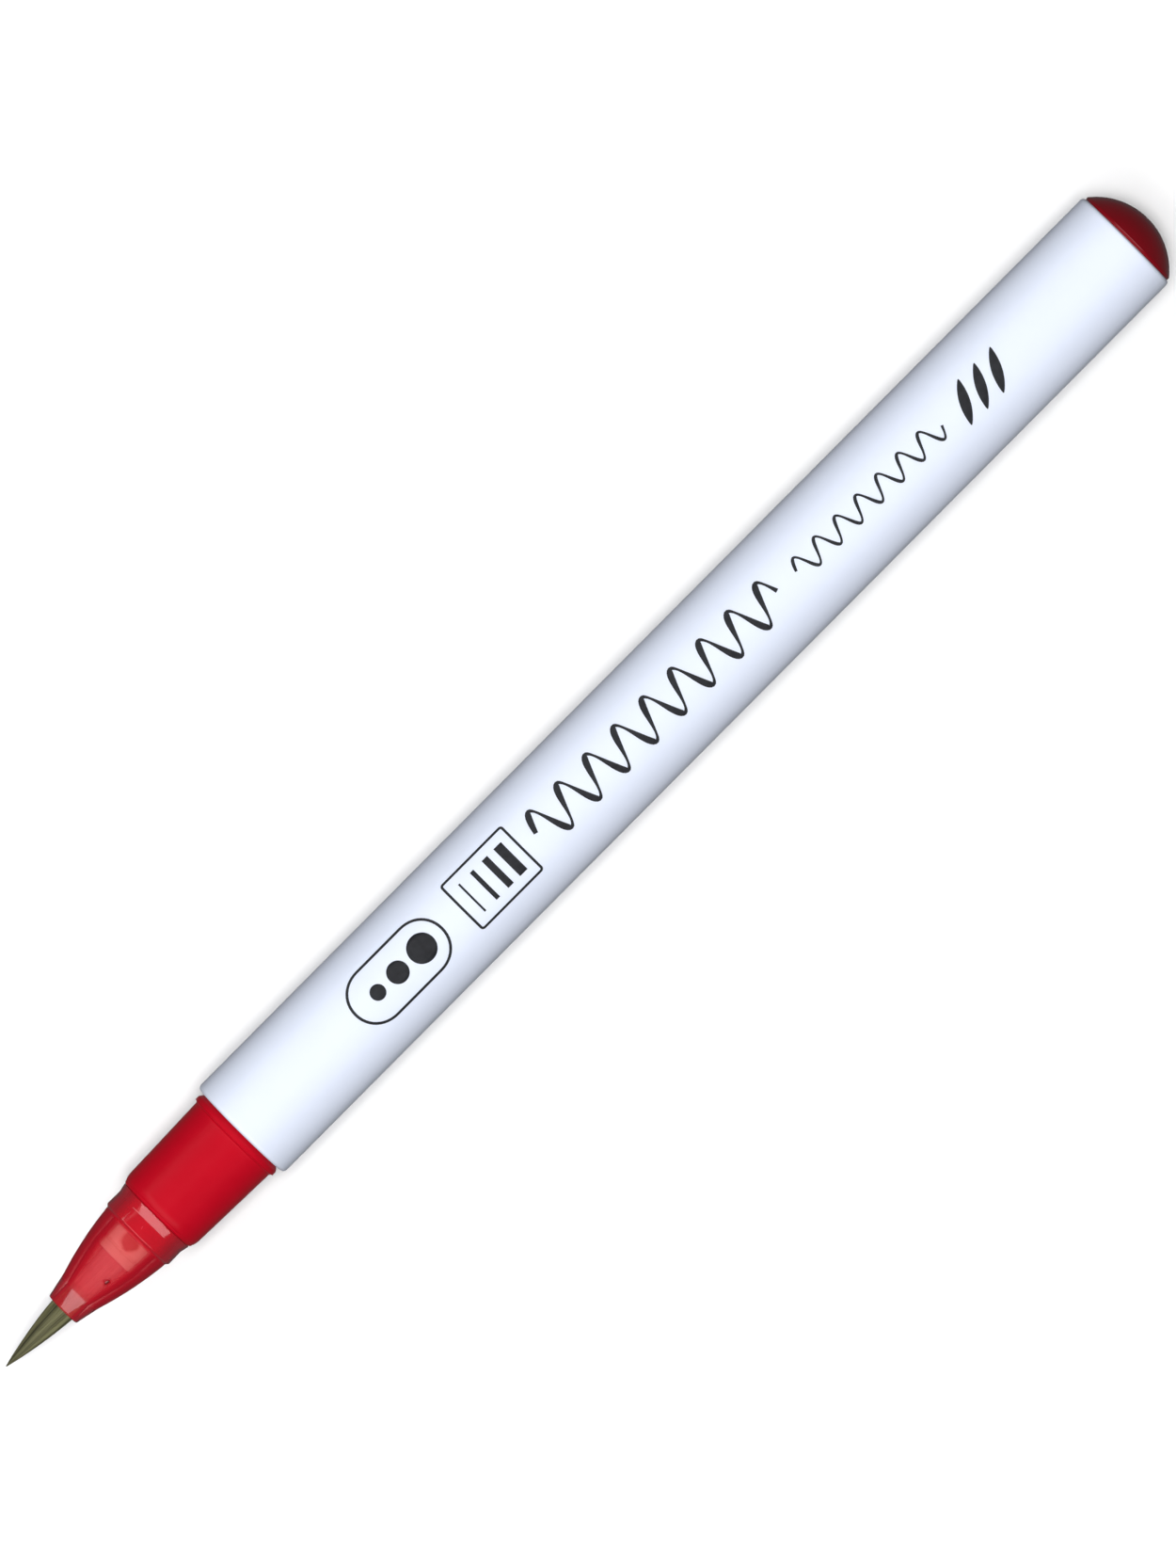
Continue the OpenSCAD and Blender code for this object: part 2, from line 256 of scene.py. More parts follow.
def clearMouldedRed():
    # see-through styrene moulding tinted red: milky haze in a glossy skin, and white parts inside look pink;
    # the cone is finely frosted, and the nozzle and collar are polished and mirror the lamps more sharply
    material, tree, place = startMaterial("clear_moulded_styrene_red")
    haze = addNode(tree, "ShaderNodeTexNoise", {"Scale": 1 / (0.9 * mm), "Detail": 2.0}, {"Vector": place})
    shade = addNode(tree, "ShaderNodeMix",
                    {"data_type": "RGBA", "A": hexColour("#be0a22"), "B": hexColour("#cc122c")},
                    {"Factor": haze.outputs["Fac"]})
    along = addNode(tree, "ShaderNodeSeparateXYZ", links={"Vector": place})
    nozzleEnd = penPoint(mouthX + polish["nozzleLong"])[0]
    nozzle = addNode(tree, "ShaderNodeMapRange",
                     {"From Min": nozzleEnd, "From Max": nozzleEnd + polish["fade"] * mm,
                      "To Min": 1.0, "To Max": 0.0}, {"Value": along.outputs["X"]})
    collarFront = penPoint(seamX - polish["collarLong"])[0]
    collar = addNode(tree, "ShaderNodeMapRange",
                     {"From Min": collarFront, "From Max": collarFront + polish["fade"] * mm},
                     {"Value": along.outputs["X"]})
    polished = addNode(tree, "ShaderNodeMath", {"operation": "MAXIMUM"},
                       {0: nozzle.outputs["Result"], 1: collar.outputs["Result"]})
    gloss = addNode(tree, "ShaderNodeMapRange", {"To Min": 0.34, "To Max": 0.14},
                    {"Value": polished.outputs["Value"]})
    surface = addNode(tree, "ShaderNodeBsdfPrincipled",
                      {"IOR": 1.59, "Specular IOR Level": 0.4, "Coat Roughness": 0.06, "Coat IOR": 2.0},
                      {"Base Color": shade.outputs["Result"], "Roughness": gloss.outputs["Result"],
                       "Coat Weight": polished.outputs["Value"]})
    # a wall seen at a slant is more plastic to look through, so it clouds over and its tint deepens
    slant = addNode(tree, "ShaderNodeLayerWeight", {"Blend": 0.5})
    depth = addNode(tree, "ShaderNodeMapRange", {"From Min": 0.26, "From Max": 0.46},
                    {"Value": slant.outputs["Facing"]})
    tint = addNode(tree, "ShaderNodeMix",
                   {"data_type": "RGBA", "A": hexColour("#ffdcda"), "B": hexColour("#9c0416")},
                   {"Factor": depth.outputs["Result"]})
    clear = addNode(tree, "ShaderNodeBsdfTransparent", links={"Color": tint.outputs["Result"]})
    thin = addNode(tree, "ShaderNodeMapRange", {"To Min": 1.0, "To Max": 0.55},
                   {"Value": depth.outputs["Result"]})
    milky = addNode(tree, "ShaderNodeMapRange", {"To Min": 0.53, "To Max": 0.6},
                    {"Value": haze.outputs["Fac"]})
    amount = addNode(tree, "ShaderNodeMath", {"operation": "MULTIPLY"},
                     {0: thin.outputs["Result"], 1: milky.outputs["Result"]})
    mixed = addNode(tree, "ShaderNodeMixShader",
                    links={0: amount.outputs["Value"], 1: surface.outputs["BSDF"], 2: clear.outputs["BSDF"]})
    addNode(tree, "ShaderNodeOutputMaterial", links={"Surface": mixed.outputs["Shader"]})
    return material


amberSpot = {"behindFront": 2.0, "size": (1.2, 1.3, 2.5)}  # on top of the ferrule, in mm


def naturalPolyethylene():
    # unpigmented polyethylene: waxy, cloudy white that light soaks into, with an amber-brown spot on top
    material, tree, place = startMaterial("moulded_polyethylene_natural")
    cloud = addNode(tree, "ShaderNodeTexNoise", {"Scale": 1 / (1.2 * mm), "Detail": 3.0}, {"Vector": place})
    shade = addNode(tree, "ShaderNodeMix",
                    {"data_type": "RGBA", "A": hexColour("#e2d9c9"), "B": hexColour("#ece4d7")},
                    {"Factor": cloud.outputs["Fac"]})
    amberSpotPlace = penPoint(frontOf("brush_ferrule") + amberSpot["behindFront"], 0.0, radiusOf("brush_ferrule"))
    spot = addNode(tree, "ShaderNodeMapping", {"vector_type": "TEXTURE", "Location": amberSpotPlace,
                                               "Scale": tuple(s * mm for s in amberSpot["size"])},
                   {"Vector": place})
    blob = addNode(tree, "ShaderNodeTexGradient", {"gradient_type": "SPHERICAL"},
                   {"Vector": spot.outputs["Vector"]})
    ragged = addNode(tree, "ShaderNodeMath", {"operation": "MULTIPLY"},
                     {0: blob.outputs["Fac"], 1: cloud.outputs["Fac"]})
    spread = addNode(tree, "ShaderNodeMapRange", {"From Min": 0.06, "From Max": 0.2, "To Max": 1.0},
                     {"Value": ragged.outputs["Value"]})
    spotted = addNode(tree, "ShaderNodeMix", {"data_type": "RGBA", "B": hexColour("#96502a")},
                    {"Factor": spread.outputs["Result"], "A": shade.outputs["Result"]})
    gloss = addNode(tree, "ShaderNodeMapRange", {"To Min": 0.38, "To Max": 0.5},
                    {"Value": cloud.outputs["Fac"]})
    surface = addNode(tree, "ShaderNodeBsdfPrincipled",
                      {"IOR": 1.51, "Subsurface Weight": 0.9, "Subsurface Radius": (1.0, 1.0, 1.0),
                       "Subsurface Scale": 1.5 * mm},
                      {"Base Color": spotted.outputs["Result"], "Roughness": gloss.outputs["Result"]})
    addNode(tree, "ShaderNodeOutputMaterial", links={"Surface": surface.outputs["BSDF"]})
    return material


paintedGlow = {"behindMouth": 1.6, "fade": 1.2}  # where the filaments are painted pale red inside the nose cone, a painted glow for light scattered in the clear cone, in mm


def taperedPolyesterFilament():
    # tapered PBT filaments, drawn and bundled: fine streaks from one filament to the next, soft sheen along
    # them, and inside the nose cone a painted pale red glow, standing in for light scattered in the clear
    # cone
    material, tree, place = startMaterial("tapered_pbt_filament_olive")
    strand = addNode(tree, "ShaderNodeAttribute", {"attribute_name": "strandShade"})
    shade = addNode(tree, "ShaderNodeMix",
                    {"data_type": "RGBA", "A": hexColour("#221f0f"), "B": hexColour("#7e7c58")},
                    {"Factor": strand.outputs["Fac"]})
    along = addNode(tree, "ShaderNodeSeparateXYZ", links={"Vector": place})
    # painted glow: the stretch inside the nose cone turns pale red, standing in for light scattered in the
    # clear cone
    glowStart = penPoint(mouthX + paintedGlow["behindMouth"])[0]
    glowMask = addNode(tree, "ShaderNodeMapRange",
                   {"From Min": glowStart, "From Max": glowStart + paintedGlow["fade"] * mm, "To Max": 0.75},
                   {"Value": along.outputs["X"]})
    glowPainted = addNode(tree, "ShaderNodeMix", {"data_type": "RGBA", "B": hexColour("#d98a90")},
                     {"Factor": glowMask.outputs["Result"], "A": shade.outputs["Result"]})
    # streaks 3.3 mm long and 0.11 mm wide, about one to a filament
    streak = addNode(tree, "ShaderNodeMapping",
                     {"Scale": (1 / (3.33 * mm), 1 / (0.111 * mm), 1 / (0.111 * mm))}, {"Vector": place})
    fine = addNode(tree, "ShaderNodeTexNoise", {"Scale": 1.0, "Detail": 2.0},
                   {"Vector": streak.outputs["Vector"]})
    dim = addNode(tree, "ShaderNodeMapRange", {"To Min": 0.75, "To Max": 1.15},
                  {"Value": fine.outputs["Fac"]})
    streaked = addNode(tree, "ShaderNodeVectorMath", {"operation": "SCALE"},
                       {0: glowPainted.outputs["Result"], "Scale": dim.outputs["Result"]})
    surface = addNode(tree, "ShaderNodeBsdfPrincipled",
                      {"Roughness": 0.45, "IOR": 1.55, "Specular IOR Level": 0.25},
                      {"Base Color": streaked.outputs["Vector"]})
    addNode(tree, "ShaderNodeOutputMaterial", links={"Surface": surface.outputs["BSDF"]})
    return material


def padPrintedInk():
    # pad-printed black ink: flat black with a slight satin, a little thinner in places
    material, tree, place = startMaterial("pad_printed_ink_black")
    patchy = addNode(tree, "ShaderNodeTexNoise", {"Scale": 1 / (0.5 * mm), "Detail": 4.0}, {"Vector": place})
    shade = addNode(tree, "ShaderNodeMix",
                    {"data_type": "RGBA", "A": hexColour("#101114"), "B": hexColour("#2b2c31")},
                    {"Factor": patchy.outputs["Fac"]})
    gloss = addNode(tree, "ShaderNodeMapRange", {"To Min": 0.35, "To Max": 0.5},
                    {"Value": patchy.outputs["Fac"]})
    surface = addNode(tree, "ShaderNodeBsdfPrincipled",
                      links={"Base Color": shade.outputs["Result"], "Roughness": gloss.outputs["Result"]})
    addNode(tree, "ShaderNodeOutputMaterial", links={"Surface": surface.outputs["BSDF"]})
    return material


def bondedFibre(name, dark, light):
    # bonded polyester fibre full of ink: matte, combed along the pen, darker where the ink stands
    material, tree, place = startMaterial(name)
    combed = addNode(tree, "ShaderNodeMapping",
                     {"Scale": (1 / (4.0 * mm), 1 / (0.167 * mm), 1 / (0.167 * mm))}, {"Vector": place})
    fibre = addNode(tree, "ShaderNodeTexNoise", {"Scale": 1.0, "Detail": 4.0},
                    {"Vector": combed.outputs["Vector"]})
    shade = addNode(tree, "ShaderNodeMix", {"data_type": "RGBA", "A": hexColour(dark), "B": hexColour(light)},
                    {"Factor": fibre.outputs["Fac"]})
    bump = addNode(tree, "ShaderNodeBump", {"Strength": 0.5, "Distance": 0.05 * mm},
                   {"Height": fibre.outputs["Fac"]})
    surface = addNode(tree, "ShaderNodeBsdfPrincipled", {"Roughness": 0.8},
                      {"Base Color": shade.outputs["Result"], "Normal": bump.outputs["Normal"]})
    addNode(tree, "ShaderNodeOutputMaterial", links={"Surface": surface.outputs["BSDF"]})
    return material


barrelWhite = mouldedPolypropyleneWhite()
gripRed = mouldedPlastic("moulded_polypropylene_red", "#b4061c", "#bc0a20", 0.3, level=0.12)
plugRed = mouldedPlastic("moulded_abs_dark_red", "#760310", "#820514", 0.18, ior=1.54, level=0.3)
noseRed = clearMouldedRed()
innerWhite = naturalPolyethylene()
filamentOlive = taperedPolyesterFilament()
printBlack = padPrintedInk()
coreFibre = bondedFibre("bonded_polyester_fibre_inked", "#8e0f20", "#d8465a")
filmClear = mouldedPlastic("wrapped_polypropylene_film", "#e9c4c8", "#f4dde0", 0.2)
print("materials made")


barrelShape = {"wall": 0.95, "rimRound": 0.62, "rimSteps": 8, "boreRound": 0.12, "ribs": 6, "ribHeight": 0.5,
               "ribThick": 0.7, "ribSunk": 0.1, "ribStart": 9.5, "ribEnd": 13.2, "segments": 224}


def makeBarrel(shape):
    bore = barrelRadius - shape["wall"]
    bm = bmesh.new()
    corners = [(0, bore, shape["boreRound"]), (0, barrelRadius, shape["rimRound"]),
               (barrelLength, barrelRadius, shape["rimRound"]), (barrelLength, bore, shape["boreRound"])]
    turnOutline(bm, softened(corners, shape["rimSteps"]), shape["segments"])
    for i in range(shape["ribs"]):
        addBox(bm, (shape["ribStart"], bore - shape["ribHeight"], -shape["ribThick"] / 2),
               (barrelLength - shape["ribEnd"], bore + shape["ribSunk"], shape["ribThick"] / 2),
               2 * math.pi * i / shape["ribs"])
    piece = evenShading(makePiece("barrel_tube", bm, barrelWhite))
    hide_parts("barrel")
    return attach(piece, "pen")


makeBarrel(barrelShape)
print("barrel made")


plugShape = {"domeLand": 0.25, "domeSteps": 30, "gap": 0.05, "wall": 1.0, "skirt": 7.0, "lead": 0.4,
             "edgeRound": 0.1, "ringBite": 0.04, "ringWide": 0.8, "ringRound": 0.05, "finThick": 1.2,
             "finRadius": 3.3, "gateRadius": 0.55, "gateDeep": 0.12, "gateTaper": 0.08, "segments": 192}


def makeTailPlug(shape):
    base = radiusOf("tail_plug")
    rise = backOf("tail_plug") - barrelLength - shape["domeLand"]
    ball = (base ** 2 + rise ** 2) / (2 * rise)
    centre = barrelLength + shape["domeLand"] + rise - ball
    edgeTurn = math.asin(base / ball)
    gateTurn = math.asin(shape["gateRadius"] / ball)
    # the dome from its edge to the moulding gate's dimple at the pole
    dome = []
    for k in range(shape["domeSteps"] + 1):
        turn = edgeTurn + (gateTurn - edgeTurn) * k / shape["domeSteps"]
        dome.append((centre + ball * math.cos(turn), ball * math.sin(turn), 0))
    dimpleX = centre + ball * math.cos(gateTurn) - shape["gateDeep"]
    skirtRadius = barrelRadius - barrelShape["wall"] - shape["gap"]
    plugX = barrelLength - shape["skirt"]
    floorX = barrelLength - shape["wall"]
    edge = shape["edgeRound"]
    corners = [(floorX, 0, 0), (floorX, skirtRadius - shape["wall"], 2 * edge),
               (plugX, skirtRadius - shape["wall"], edge), (plugX, skirtRadius - shape["lead"], edge),
               (plugX + shape["lead"], skirtRadius, edge)]
    for third in (1, 2):  # two snap rings
        ringX = plugX + shape["skirt"] * third / 3
        ringTop = skirtRadius + shape["ringBite"]
        corners += [(ringX, skirtRadius, 0), (ringX + shape["ringWide"] / 4, ringTop, shape["ringRound"]),
                    (ringX + shape["ringWide"] * 3 / 4, ringTop, shape["ringRound"]),
                    (ringX + shape["ringWide"], skirtRadius, 0)]
    corners += [(barrelLength, skirtRadius, 0), (barrelLength, base, edge)]
    corners += dome
    corners += [(dimpleX, shape["gateRadius"] - shape["gateTaper"], 0.06), (dimpleX, 0, 0)]
    bm = bmesh.new()
    turnOutline(bm, softened(corners), shape["segments"])
    for turn in (0, math.pi / 2):  # the crossed fins
        addBox(bm, (frontOf("tail_plug"), -shape["finRadius"], -shape["finThick"] / 2),
               (barrelLength - shape["wall"] / 2, shape["finRadius"], shape["finThick"] / 2), turn)
    piece = evenShading(makePiece("tail_plug_domed", bm, plugRed))
    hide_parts("tail_plug")
    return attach(piece, "pen")


makeTailPlug(plugShape)
print("tail plug made")


gripShape = {"flangeThick": 0.85, "flangeRound": 0.12, "flangeFall": 0.42, "neckStep": 0.27, "neckRun": 0.5,
             "taper": 0.24, "shoulderRound": 2.4, "shoulderLong": 1.1, "shoulderSteps": 8, "grooveBack": 0.32,
             "grooveDeep": 0.06, "grooveWide": 0.1, "spigotWall": 0.4, "ferruleGap": 0.05, "ferruleRim": 0.55,
             "rimRoom": 0.6, "boreStep": 0.6, "shankWall": 1.1, "gap": 0.05, "lead": 0.4, "edgeRound": 0.1,
             "filletSteps": 8, "segments": 192}


def makeGrip(shape):
    flange = radiusOf("grip_section")
    rear = flange - shape["neckStep"]
    front = rear - shape["taper"]
    spigotX, shankX = frontOf("grip_section"), backOf("grip_section")
    bore = radiusOf("brush_ferrule") + shape["ferruleGap"]
    spigot = bore + shape["spigotWall"]
    shank = barrelRadius - barrelShape["wall"] - shape["gap"]
    shankBore = shank - shape["shankWall"]
    ferruleHole = bore - shape["ferruleRim"]
    seatX = frontOf("inner_plug") - shape["rimRoom"]  # the ferrule's rim lies between here and the inner plug
    edge = shape["edgeRound"]

    def shoulderRadius(x):
        # the rounded shoulder falls away from the grip's front end
        into = max(0.0, seamX + shape["shoulderLong"] - x)
        return front - shape["shoulderRound"] + math.sqrt(shape["shoulderRound"] ** 2 - into ** 2)

    grooveX = seamX + shape["grooveBack"]
    grooveStart = grooveX - shape["grooveWide"]
    corners = [(seatX, ferruleHole, 0), (spigotX, ferruleHole, 0.06), (spigotX, spigot, edge),
               (seamX, spigot, 0), (seamX, shoulderRadius(seamX), 0.09),
               (grooveStart, shoulderRadius(grooveStart), 0.04),
               (grooveX - shape["grooveWide"] / 2, shoulderRadius(grooveX) - shape["grooveDeep"], 0.03),
               (grooveX, shoulderRadius(grooveX), 0.04)]
    for k in range(1, shape["shoulderSteps"] + 1):
        x = grooveX + (seamX + shape["shoulderLong"] - grooveX) * k / shape["shoulderSteps"]
        corners.append((x, shoulderRadius(x), 0))
    # a fillet of a quarter turn leads up to the flange, whose rear edge falls back to the barrel
    filletX = -shape["flangeThick"] - shape["neckStep"]
    corners.append((filletX - shape["neckRun"], rear - 0.01, 0))
    for k in range(shape["filletSteps"] + 1):
        turn = math.pi / 2 * k / shape["filletSteps"]
        corners.append((filletX + shape["neckStep"] * math.sin(turn),
                        flange - shape["neckStep"] * math.cos(turn), 0))
    corners += [(-shape["flangeThick"] + 0.02, flange, shape["flangeRound"]),
                (-shape["flangeFall"], flange, 0.16), (-0.03, flange - shape["flangeFall"] * 0.8, 0.05),
                (0, shank, 0), (shankX - shape["lead"], shank, edge), (shankX, shank - shape["lead"], edge),
                (shankX, shankBore, edge), (0, shankBore, 2 * edge), (-shape["boreStep"], bore, 2 * edge),
                (seatX, bore, 0)]
    bm = bmesh.new()
    turnOutline(bm, softened(corners), shape["segments"])
    piece = evenShading(makePiece("grip_sleeve", bm, gripRed))
    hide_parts("grip_section")
    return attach(piece, "pen")


makeGrip(gripShape)
print("grip section made")


tuftShape = {"width": 2.55, "bow": 0.15, "pointRadius": 0.05}
noseShape = {"collarLong": 2.4, "collarTaper": 0.14, "coneStep": 0.22, "coneBow": 0.19, "stepRound": 0.08,
             "nozzleLong": 2.3, "nozzleFlare": 0.49, "flareRound": 0.5, "lipWall": 0.32, "lipRound": 0.2,
             "guideLong": 1.9, "guideGap": 0.1, "cavityGap": 0.37, "cavityDraft": 0.13, "cavityBow": 0.06,
             "edgeRound": 0.06, "seamGap": 0.02, "flareStart": 0.12, "flareLong": 0.8, "flareRise": 0.17,
             "flareBow": 0.004, "collarRear": 3.8, "socketGap": 0.05, "ventBack": 4.6, "ventTurn": 25,
             "ventWide": 0.5, "drillLong": 3.0, "drillOut": 2.9, "segments": 192}


def makeNose(shape):
    collar = radiusOf("nose_cone")
    collarEnd = collar - shape["collarTaper"]
    cone = collarEnd - shape["coneStep"]
    spigot = radiusOf("brush_ferrule") + gripShape["ferruleGap"] + gripShape["spigotWall"]
    socket = spigot + shape["socketGap"]
    guide = tuftShape["width"] / 2 + shape["guideGap"]
    lip = guide + shape["lipWall"]
    cavity = radiusOf("brush_ferrule") - gripShape["ferruleRim"] + shape["cavityGap"]
    rearX = seamX - shape["seamGap"]
    collarX = seamX - shape["collarLong"]
    coneX = collarX - shape["coneStep"]
    nozzleX = mouthX + shape["nozzleLong"]
    guideX = mouthX + shape["guideLong"]
    ferruleX = frontOf("brush_ferrule")
    socketX = frontOf("grip_section") - shape["socketGap"]
    # the collar's rear edge flares out a little
    flareX = seamX - shape["flareStart"]
    flareTop = min(collar, shape["collarRear"] + shape["flareRise"])
    flareFoot = (flareX - shape["flareLong"], shape["collarRear"])
    edge = shape["edgeRound"]
    corners = [(rearX, socket, 0.05), (rearX, collar - 0.05, edge), (seamX - 0.1, collar - 0.01, edge / 2),
               (flareX, flareTop, edge)]
    corners += bowed((flareX, flareTop), flareFoot, shape["flareBow"], 6)
    corners += [(*flareFoot, 0.05), (collarX, collarEnd, shape["stepRound"]),
                (coneX, cone, shape["stepRound"])]
    corners += bowed((coneX, cone), (nozzleX, lip + shape["nozzleFlare"]), shape["coneBow"], 20)
    corners += [(nozzleX, lip + shape["nozzleFlare"], shape["flareRound"]), (mouthX, lip, shape["lipRound"]),
                (mouthX, guide, edge), (guideX, guide, shape["lipRound"])]
    corners += bowed((guideX, guide), (ferruleX, cavity), shape["cavityBow"], 8)
    corners += [(ferruleX, cavity, 0), (socketX, cavity + shape["cavityDraft"], 0.1), (socketX, socket, 0)]
    bm = bmesh.new()
    turnOutline(bm, softened(corners), shape["segments"])
    piece = evenShading(makePiece("nose_cone_clear", bm, noseRed))
    # the vent hole is drilled through the wall, part of a turn from the top
    turn = math.radians(shape["ventTurn"])
    outward = Vector((0, -math.sin(turn), math.cos(turn)))
    drill = bmesh.new()
    bmesh.ops.create_cone(drill, cap_ends=True, segments=32, radius1=shape["ventWide"] / 2 * mm,
                          radius2=shape["ventWide"] / 2 * mm, depth=shape["drillLong"] * mm)
    cutter = makePiece("vent_drill", drill, noseRed)
    cutter.location = Vector(penPoint(mouthX + shape["ventBack"])) + outward * shape["drillOut"] * mm
    cutter.rotation_mode = "QUATERNION"
    cutter.rotation_quaternion = outward.to_track_quat("Z", "Y")
    cut = piece.modifiers.new("Vent hole", "BOOLEAN")
    cut.object = cutter
    cut.operation = "DIFFERENCE"
    cut.solver = "EXACT"
    piece.modifiers.move(1, 0)
    bpy.context.view_layer.update()
    drilled = piece.evaluated_get(bpy.context.evaluated_depsgraph_get())
    made = bpy.data.meshes.new_from_object(drilled)
    piece.modifiers.clear()
    piece.data = made
    bpy.data.objects.remove(cutter)
    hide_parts("nose_cone")
    piece.visible_shadow = False  # the lamps reach the parts inside the clear cone
    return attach(piece, "pen")


makeNose(noseShape)
print("nose cone made")


ferruleShape = {"rimLong": 0.55, "rimRound": 0.08, "wallGap": 0.05, "grooveBack": 0.8, "grooveDeep": 0.14,
                "grooveWide": 0.3, "edgeRound": 0.05, "cupWider": 0.45, "cupDeep": 0.9, "segments": 128}


def makeFerrule(shape):
    rim = radiusOf("brush_ferrule")
    tube = rim - gripShape["ferruleRim"]
    hole = tuftShape["width"] / 2 + shape["wallGap"]
    cup = hole + shape["cupWider"]  # the room at the back for the tuft's fused end
    frontX, backX = frontOf("brush_ferrule"), backOf("brush_ferrule")
    rimX = backX - shape["rimLong"]
    cupX = backX - shape["cupDeep"]
    grooveX = frontX + shape["grooveBack"]
    grooveEnd = grooveX + shape["grooveWide"]
    grooveFloor = tube - shape["grooveDeep"]
    edge = shape["edgeRound"]
    corners = [(frontX, hole, 0.15), (frontX, tube, 0.18), (grooveX, tube, edge),
               (grooveX + edge, grooveFloor, edge), (grooveEnd, grooveFloor, edge),
               (grooveEnd + edge, tube, edge), (rimX, tube, 0), (rimX, rim, shape["rimRound"]),
               (backX, rim, shape["rimRound"]), (backX, cup, edge), (cupX, cup, edge), (cupX, hole, edge)]
    bm = bmesh.new()
    turnOutline(bm, softened(corners), shape["segments"])
    piece = evenShading(makePiece("ferrule_tube", bm, innerWhite))
    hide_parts("brush_ferrule")
    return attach(piece, "pen")


makeFerrule(ferruleShape)
print("ferrule made")


# the inner parts keep the frame's own meshes
innerMaterials = {"inner_plug": innerWhite, "relay_core": coreFibre, "ink_reservoir": coreFibre,
                  "reservoir_film": filmClear}
for nodeName, material in innerMaterials.items():
    node = frame["nodes"][nodeName]
    node.data.materials.clear()
    node.data.materials.append(material)
print("inner parts finished")


# many tapered filaments over a solid heart, in two lengths that meet on the belly
brushShape = {"rings": ((1.0, 92), (0.93, 80), (0.85, 70)), "rootX": -1.9, "rows": 26, "sides": 6,
              "thick": 0.125, "thickness": (0.85, 1.15), "thinning": 0.85, "scatter": 0.3, "stray": 0.014,
              "swing": 0.06, "swings": 6, "pace": (0.6, 1.4), "clumpLift": 0.07, "shortest": 0.9,
              "grooveShadePainted": 0.12, "crownLightPainted": 0.75, "shadeStray": 0.2, "tipDark": 0.45,
              "heart": 0.86, "heartInset": 0.02, "heartShort": 0.25, "heartShadePainted": 0.15, "heartRows": 24,
              "heartSegments": 48, "firstBehind": 0.5, "firstAhead": 1.75, "secondBehind": 0.7,
              "secondAhead": 2.0}


def tuftShare(x):
    # 0 in the nozzle's mouth, 1 at the point
    return min(1.0, max(0.0, (mouthX - x) / (mouthX - tipX)))


def tuftRadius(x):
    # the tuft's outline: straight inside the nose cone, then a bowed taper to the point
    t = tuftShare(x)
    point = tuftShape["pointRadius"]
    return point + (tuftShape["width"] / 2 - point) * (1 - t) + 4 * tuftShape["bow"] * t * (1 - t)


def clumpAt(turn):
    # wet filaments gather in uneven clumps: 1 on the crown of a clump, 0 in the groove between two
    return 0.5 + 0.28 * math.cos(7 * turn - 0.52) + 0.22 * math.cos(3 * turn + 1.57)


def addStrand(bm, shadeLayer, startX, endX, strand, shape):
    rows, sides = shape["rows"], shape["sides"]
    sway, pace, phase = strand["wave"]
    lift = 1 + shape["clumpLift"] * (clumpAt(strand["turn"]) - 1)
    rings = []
    for k in range(rows + 1):
        x = startX + (endX - startX) * k / rows
        t = tuftShare(x)
        outside = tuftRadius(x)
        size = strand["thick"] / 2 * (outside / (tuftShape["width"] / 2)) ** shape["thinning"]
        turn = strand["turn"] + sway * math.sin(pace * t * shape["swings"] + phase) * shape["swing"]
        reach = max(0.0, outside * strand["share"] * lift - size)
        ring = []
        for i in range(sides):
            a = 2 * math.pi * i / sides
            vert = bm.verts.new(penPoint(x, reach * math.sin(turn) + size * math.sin(a),
                                         reach * math.cos(turn) + size * math.cos(a)))
            vert[shadeLayer] = strand["shade"] * (1 - shape["tipDark"] * t * t)
            ring.append(vert)
        rings.append(ring)
    for ring, following in zip(rings, rings[1:]):
        for i in range(sides):
            j = (i + 1) % sides
            bm.faces.new([ring[i], ring[j], following[j], following[i]])
    bm.faces.new(rings[0][::-1])
    bm.faces.new(rings[-1])


def addHeart(bm, shadeLayer, startX, endX, shape):
    # the imported filaments under the outer ones, as one body painted dark: painted shade for the deep gaps
    # between the filaments
    outline = [(startX, 0)]
    for k in range(shape["heartRows"] + 1):
        x = startX + (endX - startX) * k / shape["heartRows"]
        outline.append((x, tuftRadius(x) * shape["heart"] - shape["heartInset"]))
    outline.append((endX, 0))
    before = len(bm.verts)
    turnOutline(bm, outline, shape["heartSegments"])
    bm.verts.ensure_lookup_table()
    for vert in bm.verts[before:]:
        vert[shadeLayer] = shape["heartShadePainted"]


def drawStrands(shape):
    # each filament's own place, waviness, thickness and shade
    strands = []
    for share, count in shape["rings"]:
        stagger = 0.5 if share < 0.95 else 0.0  # the inner rings lie in the gaps of the outermost
        for i in range(count):
            turn = 2 * math.pi * (i + random.uniform(-1, 1) * shape["scatter"] + stagger) / count
            # painted shade and light: filaments in the grooves between clumps are coloured darker, those on
            # the crowns lighter
            clumpPaintedShade = shape["grooveShadePainted"] + shape["crownLightPainted"] * clumpAt(turn)
            strands.append({
                "share": share + random.uniform(-1, 1) * shape["stray"], "turn": turn,
                "wave": (random.uniform(-1, 1), random.uniform(*shape["pace"]), random.uniform(0, 6.28)),
                "thick": shape["thick"] * random.uniform(*shape["thickness"]),
                "shade": min(1.0, max(0.0, clumpPaintedShade + random.uniform(-1, 1) * shape["shadeStray"])),
                "short": random.random() ** 3 * shape["shortest"]})
    return strands


